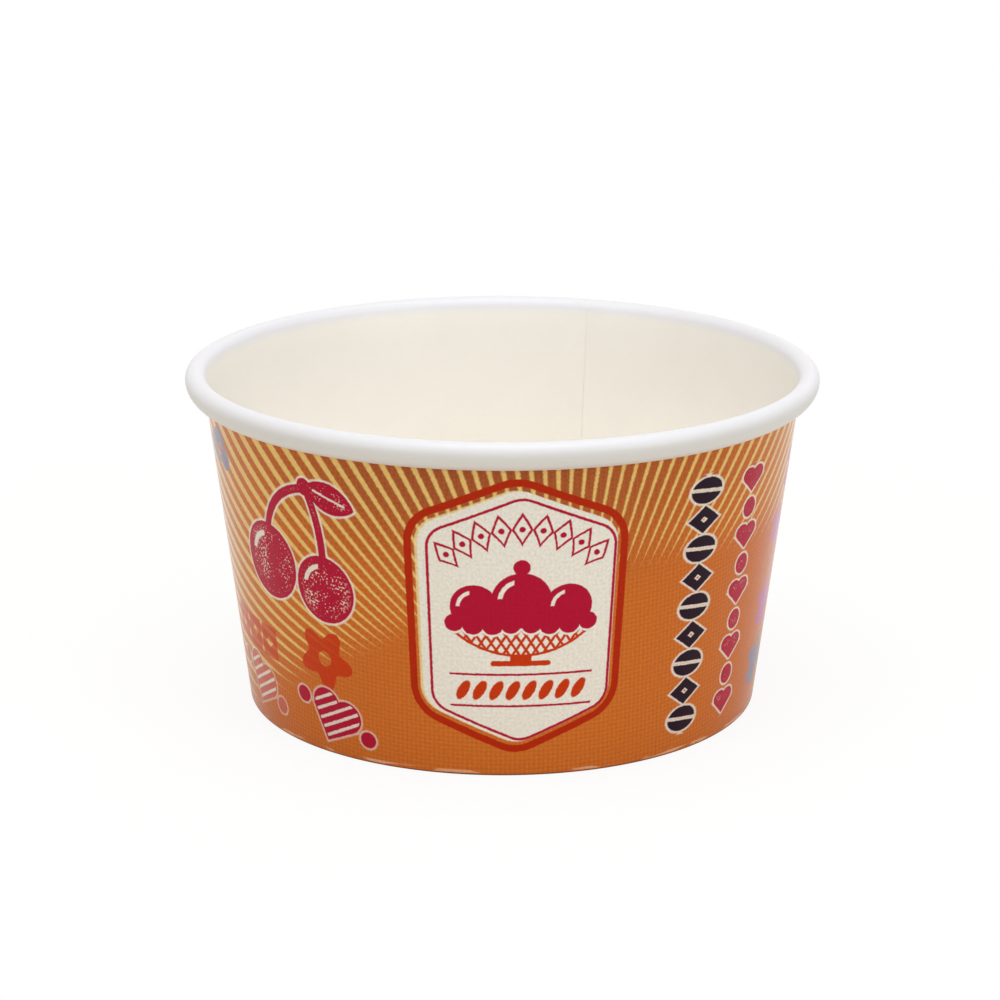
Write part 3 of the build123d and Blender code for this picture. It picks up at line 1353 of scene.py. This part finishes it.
@dataclass
class SideWall:
    """The rolled blank in one piece: hem, fold, wall, rolled rim and lapped seam.

    Its section is drawn at +X and spun round the cup into columns of points, from the
    inner raw edge on. Places named from and to are ways up the flat blank from the foot.
    """

    sizes: CupSizes
    finishes: list[Material]
    name: str = "printed_wall"
    columns: int = 296
    roll_corners: int = 52
    bend_steps: int = 10
    outer_fold_steps: int = 6
    inner_fold_steps: int = 7
    wall_cuts: int = 11
    seam_gap: float = 0.01
    seam_ease: float = 5.0
    inner_fold: float = -0.2
    outer_fold: float = 0.05
    wall_from: float = 0.42
    fold_reach: float = 0.75
    under_from: float = 52.6
    under_to: float = 55.4
    under_steps: int = 5
    roll_from: float = 48.7
    roll_share: float = 0.18
    edge_shares: tuple[float, ...] = (0.22, 0.5, 0.75, 0.92)
    piece: Object | None = field(default=None, init=False)
    count: int = field(default=0, init=False)

    def build(self) -> Object:
        """Models the blank and returns it."""
        self._roll_section()
        self._rim_end()
        self._wall_and_foot()
        self._mark_run()
        self.count = len(self.piece.data.vertices)
        self._spin_round()
        self._mark_blank()
        self._press_seam()
        self._thin_seam()
        make_board(self.piece, self.sizes.wall_board, self.finishes, PRESSED)
        return self.piece

    @property
    def turn(self) -> float:
        """How far the blank goes round, from its inner raw edge to its outer one."""
        return 360.0 + self.sizes.lap_angle

    @property
    def step(self) -> float:
        """Turn from one column of points to the next."""
        return self.turn / self.columns

    @property
    def bend_height(self) -> float:
        """Height of the centres of the fold's two bends."""
        return self.sizes.half_wall + self.sizes.fold_radius

    @property
    def outer_bend(self) -> Vector:
        """Centre of the fold's outer bend."""
        return self.sizes.wall_point(self.bend_height, self.sizes.half_wall + self.sizes.fold_radius)

    @property
    def wall_foot(self) -> Vector:
        """Where the wall's middle line runs into the fold."""
        return self.outer_bend + self.sizes.square * self.sizes.fold_radius

    def _roll_section(self) -> None:
        """Starts the section from a circle for the roll, and opens it below."""
        centre, radius = self.sizes.roll_centre, self.sizes.roll_radius
        upright = (math.pi / 2, 0.0, 0.0)
        self.piece = start_circle(self.name, self.roll_corners, radius, section(centre), rotation=upright)
        slack = 0.01
        middle = (centre.y - slack) * MM
        half_step = radius * math.sin(FULL_TURN / self.roll_corners) / 2 * MM

        def unwanted(point: BMVert) -> bool:
            """Whether a point lies below the roll's middle, or at its height beside the wall."""
            beside_wall = point.co.x < centre.x * MM and point.co.z < middle + half_step
            return point.co.z < middle or beside_wall

        with editing(self.piece):
            pick(self.piece, unwanted)
            bpy.ops.mesh.delete(type="VERT")

    def _rim_end(self) -> None:
        """Carries the roll on under itself, up beside the wall and in over its hollow."""
        sizes = self.sizes
        beside = -(sizes.half_wall + sizes.glue_line)
        tuck_height = sizes.height - sizes.roll_height + sizes.half_wall + sizes.tuck_radius
        tuck = sizes.wall_point(tuck_height, beside - sizes.tuck_radius)
        widest = Vector((sizes.rim_diameter / 2 - sizes.half_wall, sizes.roll_centre.y))
        across, drop = widest - tuck
        radius = (across**2 + drop**2 - sizes.tuck_radius**2) / (2 * (across - sizes.tuck_radius))
        angle = math.degrees(math.atan2(drop, radius - across))
        under = widest - Vector((radius, 0.0))
        tail_start = sizes.wall_point(sizes.roll_centre.y, beside)
        tail = direction(math.radians(90.0 - sizes.lean_degrees - sizes.tail_angle)) * sizes.tail_length
        with editing(self.piece):
            pick(self.piece, close_to(widest))
            draw_round(under, -angle, self.bend_steps)
            draw_round(tuck, angle - 180.0 - sizes.lean_degrees, self.bend_steps)
            draw_to(tuck - sizes.square * sizes.tuck_radius, tail_start)
            draw_to(tail_start, tail_start + tail)

    def _wall_and_foot(self) -> None:
        """Draws the wall down from the roll, round the fold and up the hem."""
        sizes = self.sizes
        hem = sizes.wall_board + sizes.floor_board + 2 * sizes.glue_line + sizes.half_wall
        inner_bend = sizes.wall_point(self.bend_height, hem - sizes.fold_radius)
        top_angle = math.pi - FULL_TURN / self.roll_corners
        top = sizes.roll_centre + sizes.roll_radius * direction(top_angle)
        below = Vector((0.0, -sizes.fold_radius))
        hem_foot = inner_bend - sizes.square * sizes.fold_radius
        at_top, at_foot = close_to(top), close_to(self.wall_foot)
        with editing(self.piece):
            pick(self.piece, at_top)
            draw_to(top, self.wall_foot)
            draw_round(self.outer_bend, sizes.lean_degrees - 90.0, self.outer_fold_steps)
            draw_to(self.outer_bend + below, inner_bend + below)
            draw_round(inner_bend, -90.0 - sizes.lean_degrees, self.inner_fold_steps)
            draw_to(hem_foot, sizes.wall_point(sizes.floor_recess - sizes.hem_gap, hem))
            pick(self.piece, lambda point: at_top(point) or at_foot(point))
            bpy.ops.mesh.subdivide(number_cuts=self.wall_cuts)

    def _mark_run(self) -> None:
        """Notes on each point of the section how far up the flat blank it lies."""
        mesh = bmesh.new()
        mesh.from_mesh(self.piece.data)
        layer = mesh.verts.layers.float.new(RAN)
        ends = [point for point in mesh.verts if len(point.link_edges) == 1]
        point = min(ends, key=lambda end: end.co.x)
        last, run, marks = None, 0.0, []
        while point is not None:
            marks.append((point, run))
            follow = [edge for edge in point.link_edges if edge is not last]
            if not follow:
                break
            last = follow[0]
            run += last.calc_length() / MM
            point = last.other_vert(point)
        at_foot = close_to(self.wall_foot)
        foot_run = next(run for point, run in marks if at_foot(point))
        foot_up = self.wall_foot.y / math.cos(self.sizes.lean)
        for point, run in marks:
            point[layer] = run - foot_run + foot_up
        mesh.to_mesh(self.piece.data)
        mesh.free()

    def _spin_round(self) -> None:
        """Spins the section round the cup, from the inner raw edge on."""
        with editing(self.piece):
            bpy.ops.mesh.select_all(action="SELECT")
            bpy.ops.transform.rotate(
                value=-math.radians(self.sizes.seam_angle),
                orient_axis="Z",
                center_override=(0.0, 0.0, 0.0),
            )
            bpy.ops.mesh.select_all(action="SELECT")
            bpy.ops.mesh.spin(
                steps=self.columns,
                angle=math.radians(self.turn),
                center=(0.0, 0.0, 0.0),
                axis=(0.0, 0.0, -1.0),
                dupli=False,
                use_auto_merge=False,
            )

        def outward(mesh: Mesh) -> float:
            """How far the largest face, one of the wall's, looks away from the axis."""
            wall = max(mesh.polygons, key=lambda face: face.area)
            return wall.normal.dot(Vector((wall.center.x, wall.center.y, 0.0)))

        face_out(self.piece, outward)

    def _mark_blank(self) -> None:
        """Writes each point's place on the flat blank, in millimetres."""
        mesh = self.piece.data
        ran = mesh.attributes[RAN].data
        blank = mesh.attributes.new(BLANK, "FLOAT_VECTOR", "POINT").data
        tip = self.sizes.blank_radius
        for index, point in enumerate(mesh.vertices):
            column = index // self.count
            angle = self.sizes.seam_angle + column * self.step + 90.0 - 360.0
            turn = math.radians(angle) * math.sin(self.sizes.lean)
            reach = tip + ran[index].value
            blank[index].vector = (reach * math.sin(turn), reach * math.cos(turn) - tip, 0.0)
            seen = math.degrees(math.atan2(point.co.y, point.co.x)) + 90.0
            if abs((seen - angle + 180.0) % 360.0 - 180.0) > 0.01:
                raise ValueError(f"column {column} lies at {seen:.3f} and not at {angle:.3f}")

    def _lift(self, past_slope: float) -> float:
        """How far the outer layer stands off the wall's own line, in millimetres.

        Args:
            past_slope: Turn from the start of the slope, in degrees.

        Returns:
            The lift.
        """
        if past_slope <= 0:
            return 0.0
        radius = self.sizes.wall_point(self.sizes.height / 2).x
        share = min(past_slope / self.sizes.slope_angle, 1.0)
        flat = radius * (1 / math.cos(math.radians(share * self.sizes.slope_angle)) - 1)
        return min(flat, self.sizes.wall_board) + self.seam_gap * share

    def _press_seam(self) -> None:
        """Lifts the outer layer over the inner one, with hem and rim to match."""
        full = self.sizes.wall_board + self.seam_gap
        slant = math.cos(self.sizes.lean)
        with editing(self.piece):
            for column in range(self.columns + 1):
                angle = column * self.step
                lift = self._lift(angle - 360.0 + self.sizes.slope_angle)
                ease = 1.0 - (angle - self.sizes.lap_angle) / self.seam_ease
                out = direction(math.radians(self.sizes.seam_angle + angle)).to_3d()
                if lift > 0:
                    self._pick(column, self.roll_from)
                    bpy.ops.transform.shrink_fatten(value=lift * self.roll_share * MM)
                    self._pick(column, self.outer_fold, self.roll_from)
                    bpy.ops.transform.translate(value=out * lift / slant * MM)
                    self._pick(column, -math.inf, self.inner_fold)
                    bpy.ops.transform.translate(value=-out * lift / slant * MM)
                    self._ease_tuck(column, out * lift)
                elif ease > 0:
                    rise = full * min(ease, 1.0)
                    self._pick(column, -self.fold_reach, self.fold_reach)
                    bpy.ops.transform.translate(value=(0.0, 0.0, rise * MM))
                    self._ease_tuck(column, out * rise)
            bpy.ops.mesh.select_all(action="DESELECT")
            for column in range(round(360.0 / self.step) + 1, self.columns + 1):
                self._pick(column, self.under_to, add=True)
            bpy.ops.mesh.delete(type="VERT")

    def _ease_tuck(self, column: int, move: Vector) -> None:
        """Moves the roll's hidden end off the doubled wall, and its underside step by step.

        Args:
            column: Number of the column.
            move: The move in millimetres.
        """
        for step in range(1, self.under_steps + 1):
            low = self.under_from + step / self.under_steps * (self.under_to - self.under_from)
            self._pick(column, low)
            bpy.ops.transform.translate(value=move / self.under_steps * MM)

    def _thin_seam(self) -> None:
        """Presses the inner layer thin, along its raw edge and where the roll holds two layers."""
        every = range(len(self.piece.data.vertices))
        self.piece.vertex_groups.new(name=PRESSED).add(every, 1.0, "REPLACE")
        for column, share in enumerate(self.edge_shares):
            self._thin(column, self.wall_from, self.roll_from, share, 1.0)
        for column in range(round(self.sizes.lap_angle / self.step) + 1):
            self._thin(column, self.roll_from, math.inf, self.roll_share, -1.0)

    def _thin(self, column: int, low: float, high: float, share: float, side: float) -> None:
        """Thins the board in a stretch of one column, from one side.

        Args:
            column: Number of the column.
            low: Start of the stretch.
            high: Its end.
            share: How much of the board's thickness is left.
            side: 1 to keep the printed face where it is, -1 to keep the coated one.
        """
        with editing(self.piece):
            self._pick(column, low, high)
            bpy.ops.transform.shrink_fatten(value=side * self.sizes.half_wall * (1 - share) * MM)
        ran = self.piece.data.attributes[RAN].data
        chosen = [index for index in self._points(column) if low <= ran[index].value < high]
        self.piece.vertex_groups[PRESSED].add(chosen, share, "REPLACE")

    def _points(self, column: int) -> range:
        """Numbers of the points of one column."""
        return range(column * self.count, (column + 1) * self.count)

    def _pick(self, column: int, low: float, high: float = math.inf, add: bool = False) -> None:
        """Selects the points of one column that lie in a stretch of the flat blank.

        Args:
            column: Number of the column.
            low: Start of the stretch.
            high: Its end.
            add: Whether what is selected stays so.
        """
        if not add:
            bpy.ops.mesh.select_all(action="DESELECT")
        mesh = bmesh.from_edit_mesh(self.piece.data)
        mesh.verts.ensure_lookup_table()
        layer = mesh.verts.layers.float[RAN]
        for index in self._points(column):
            if low <= mesh.verts[index][layer] < high:
                mesh.verts[index].select = True
        mesh.select_flush_mode()
        bmesh.update_edit_mesh(self.piece.data)


@dataclass
class FloorDisc:
    """The floor: a flat disc with its edge turned down into a skirt."""

    sizes: CupSizes
    finishes: list[Material]
    name: str = "floor_board"
    columns: int = 192
    bend_steps: int = 6

    def build(self) -> Object:
        """Models the disc and returns it."""
        run = self._edge_run()
        here = run[0]
        centre = Vector((0.0, 0.0, here.y * MM))
        piece = start_circle(self.name, self.columns, here.x, centre, fill_type="TRIFAN")
        with editing(piece, "EDGE"):
            bpy.ops.mesh.select_all(action="SELECT")
            bpy.ops.mesh.region_to_loop()
            for place in run[1:]:
                drop = (0.0, 0.0, (place.y - here.y) * MM)
                bpy.ops.mesh.extrude_region_move(TRANSFORM_OT_translate={"value": drop})
                size = place.x / here.x
                middle = (0.0, 0.0, place.y * MM)
                bpy.ops.transform.resize(value=(size, size, 1.0), center_override=middle)
                here = place
        face_out(piece, lambda mesh: mesh.polygons[0].normal.z)
        blank = piece.data.attributes.new(BLANK, "FLOAT_VECTOR", "POINT").data
        for index, point in enumerate(piece.data.vertices):
            blank[index].vector = (point.co.x / MM, point.co.y / MM, 0.0)
        make_board(piece, self.sizes.floor_board, self.finishes)
        return piece

    def _edge_run(self) -> list[Vector]:
        """Middle line from the flat floor round its bend and down the skirt."""
        sizes = self.sizes
        half = sizes.floor_board / 2
        radius = sizes.floor_bend_radius
        depth = sizes.wall_board + sizes.glue_line + half
        height = sizes.floor_recess + half
        bend = sizes.wall_point(height - radius, depth + radius)
        turns = (90.0 - (90.0 + sizes.lean_degrees) * i / self.bend_steps for i in range(self.bend_steps + 1))
        run = [bend + radius * direction(math.radians(turn)) for turn in turns]
        return [*run, sizes.wall_point(sizes.wall_board + sizes.skirt_gap, depth)]


# The studio


@dataclass(frozen=True)
class Softbox:
    """A plain soft lamp, placed in metres, that looks at the cup."""

    name: str
    place: Triple
    size: Pair
    power: float
    tint: Triple = (1.0, 1.0, 1.0)
    mirrored: bool = True
    aim: Triple = (0.0, 0.0, 0.03)

    def hang(self) -> None:
        """Puts the lamp in the scene."""
        data = bpy.data.lights.new(self.name, "AREA")
        data.shape = "RECTANGLE"
        data.size, data.size_y = self.size
        data.energy = self.power
        data.color = self.tint
        lamp = bpy.data.objects.new(self.name, data)
        lamp.visible_glossy = self.mirrored
        bpy.context.scene.collection.objects.link(lamp)
        lamp.location = self.place
        towards = Vector(self.aim) - Vector(self.place)
        lamp.rotation_euler = towards.to_track_quat("-Z", "Y").to_euler()


WARM = (1.0, 0.955, 0.88)
COOL = (0.76, 0.86, 1.0)


@dataclass(frozen=True)
class Studio:
    """White floor, soft light and the photograph's camera.

    The floor glows white where the camera sees it, but for a share near the cup that
    takes its shadow, and less where the cup's gloss mirrors it. Distances are in
    millimetres and angles in degrees, apart from the roll.
    """

    sizes: CupSizes
    pitch: float = 16.85
    distance: float = 438.5
    lens: float = 106.66
    sensor: float = 36.0
    shift: Pair = (-0.0039, 0.0255)
    roll: float = -0.002
    sky: float = 0.40
    floor_size: float = 8.0
    floor_drop: float = 0.00002
    floor_tone: tuple[float, float, float, float] = (0.82, 0.78, 0.72, 1.0)
    shadow_from: float = 90.0
    shadow_to: float = 320.0
    shadow_share: float = 0.10
    mirror_from: float = 38.0
    mirror_to: float = 95.0
    mirror_share: float = 0.6
    lamps: tuple[Softbox, ...] = (
        Softbox("top_box", (0.0, -0.14, 0.90), (0.7, 0.6), 4.8, WARM),
        Softbox("left_box", (-0.68, -0.60, 0.26), (0.4, 0.6), 2.1, COOL),
        Softbox("right_box", (0.72, -0.56, 0.26), (0.4, 0.6), 2.95, COOL),
        Softbox("back_box", (0.10, 0.85, 0.35), (0.7, 0.5), 1.4, mirrored=False),
    )

    def build(self) -> None:
        """Sets up everything round the cup."""
        bpy.context.scene.view_settings.view_transform = "Standard"
        self._camera()
        self._floor()
        self._sky()
        for lamp in self.lamps:
            lamp.hang()
            LOG.info("%s: %.2f W", lamp.name, lamp.power)

    def _camera(self) -> None:
        """Camera at the photograph's angle."""
        data = bpy.data.cameras.new("camera")
        data.sensor_width = self.sensor
        data.lens = self.lens
        data.shift_x, data.shift_y = self.shift
        data.clip_start, data.clip_end = 0.01, 20.0
        camera = bpy.data.objects.new("camera", data)
        bpy.context.scene.collection.objects.link(camera)
        turn = math.radians(self.pitch)
        target = Vector((0.0, 0.0, self.sizes.height / 2))
        back = Vector((0.0, -math.cos(turn), math.sin(turn))) * self.distance
        camera.location = (target + back) * MM
        camera.rotation_euler = (math.pi / 2 - turn, self.roll, 0.0)
        bpy.context.scene.camera = camera

    def _floor(self) -> None:
        """A wide white floor that shows the cup's soft shadow."""
        bpy.ops.object.select_all(action="DESELECT")
        bpy.ops.mesh.primitive_plane_add(size=self.floor_size, location=(0.0, 0.0, -self.floor_drop))
        floor = bpy.context.object
        floor.name = "floor"
        bpy.ops.object.transform_apply(location=True, rotation=True, scale=True)
        made = bpy.data.materials.new("white_floor")
        bench = Bench(made)
        seen, mirrored, through = bench.rays()
        tone = bench.mix(self.floor_tone, WHITE, seen)
        paper = bench.node("ShaderNodeBsdfDiffuse", {}, {"Color": tone})
        glow = bench.node("ShaderNodeEmission", {}, {"Color": WHITE, "Strength": 1.0})
        away = bench.solid().length()
        shadow = away.ramp(self.shadow_from, self.shadow_to) * self.shadow_share + (1 - self.shadow_share)
        mirror = away.ramp(self.mirror_from, self.mirror_to) * self.mirror_share + (1 - self.mirror_share)
        share = ((seen + through) * shadow + mirrored * mirror).times_plus(1.0, 0.0, clamp=True)
        shaders = {0: share, 1: paper.outputs["BSDF"], 2: glow.outputs["Emission"]}
        mixed = bench.node("ShaderNodeMixShader", {}, shaders)
        bench.node("ShaderNodeOutputMaterial", {}, {"Surface": mixed.outputs["Shader"]})
        floor.data.materials.append(made)

    def _sky(self) -> None:
        """White surroundings, plain white where the camera or a gloss sees them."""
        world = bpy.data.worlds.new("surroundings")
        bpy.context.scene.world = world
        bench = Bench(world)
        lit, seen = (
            bench.node("ShaderNodeBackground", {}, {"Color": WHITE, "Strength": strength})
            for strength in (self.sky, 1.0)
        )
        shaders = {0: shared(*bench.rays()), 1: lit.outputs[0], 2: seen.outputs[0]}
        mixed = bench.node("ShaderNodeMixShader", {}, shaders)
        bench.node("ShaderNodeOutputWorld", {}, {"Surface": mixed.outputs[0]})


# Assembly


def fit(piece: Object, node: str) -> None:
    """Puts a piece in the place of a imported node.

    Args:
        piece: The finished mesh.
        node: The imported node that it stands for.
    """
    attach(piece, "root")
    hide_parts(node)
    LOG.info("%s: %d faces, stands for %s", piece.name, len(piece.data.polygons), node)


def main() -> None:
    """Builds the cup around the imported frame."""
    logging.basicConfig(level=logging.INFO, format="%(name)s: %(message)s")
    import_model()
    sizes = CupSizes()
    printed = PrintedFace(sizes).material()
    coated = CoatedFace(foot_radius=sizes.blank_radius).material()
    edge = CutEdge().material()
    fit(SideWall(sizes, [printed, coated, edge]).build(), "side_wall")
    # The floor disc is a darker, painted-shade copy of the coated board, darker still towards its edge by the
    # wall.
    plain = CoatedFace("shaded_coated_floor", tone="F8F3EA", upper=("F4EEE4", 24.0, 46.0)).material()
    fit(FloorDisc(sizes, [plain, plain, edge]).build(), "bottom_disc")
    Studio(sizes).build()


if __name__ == "__main__":
    main()
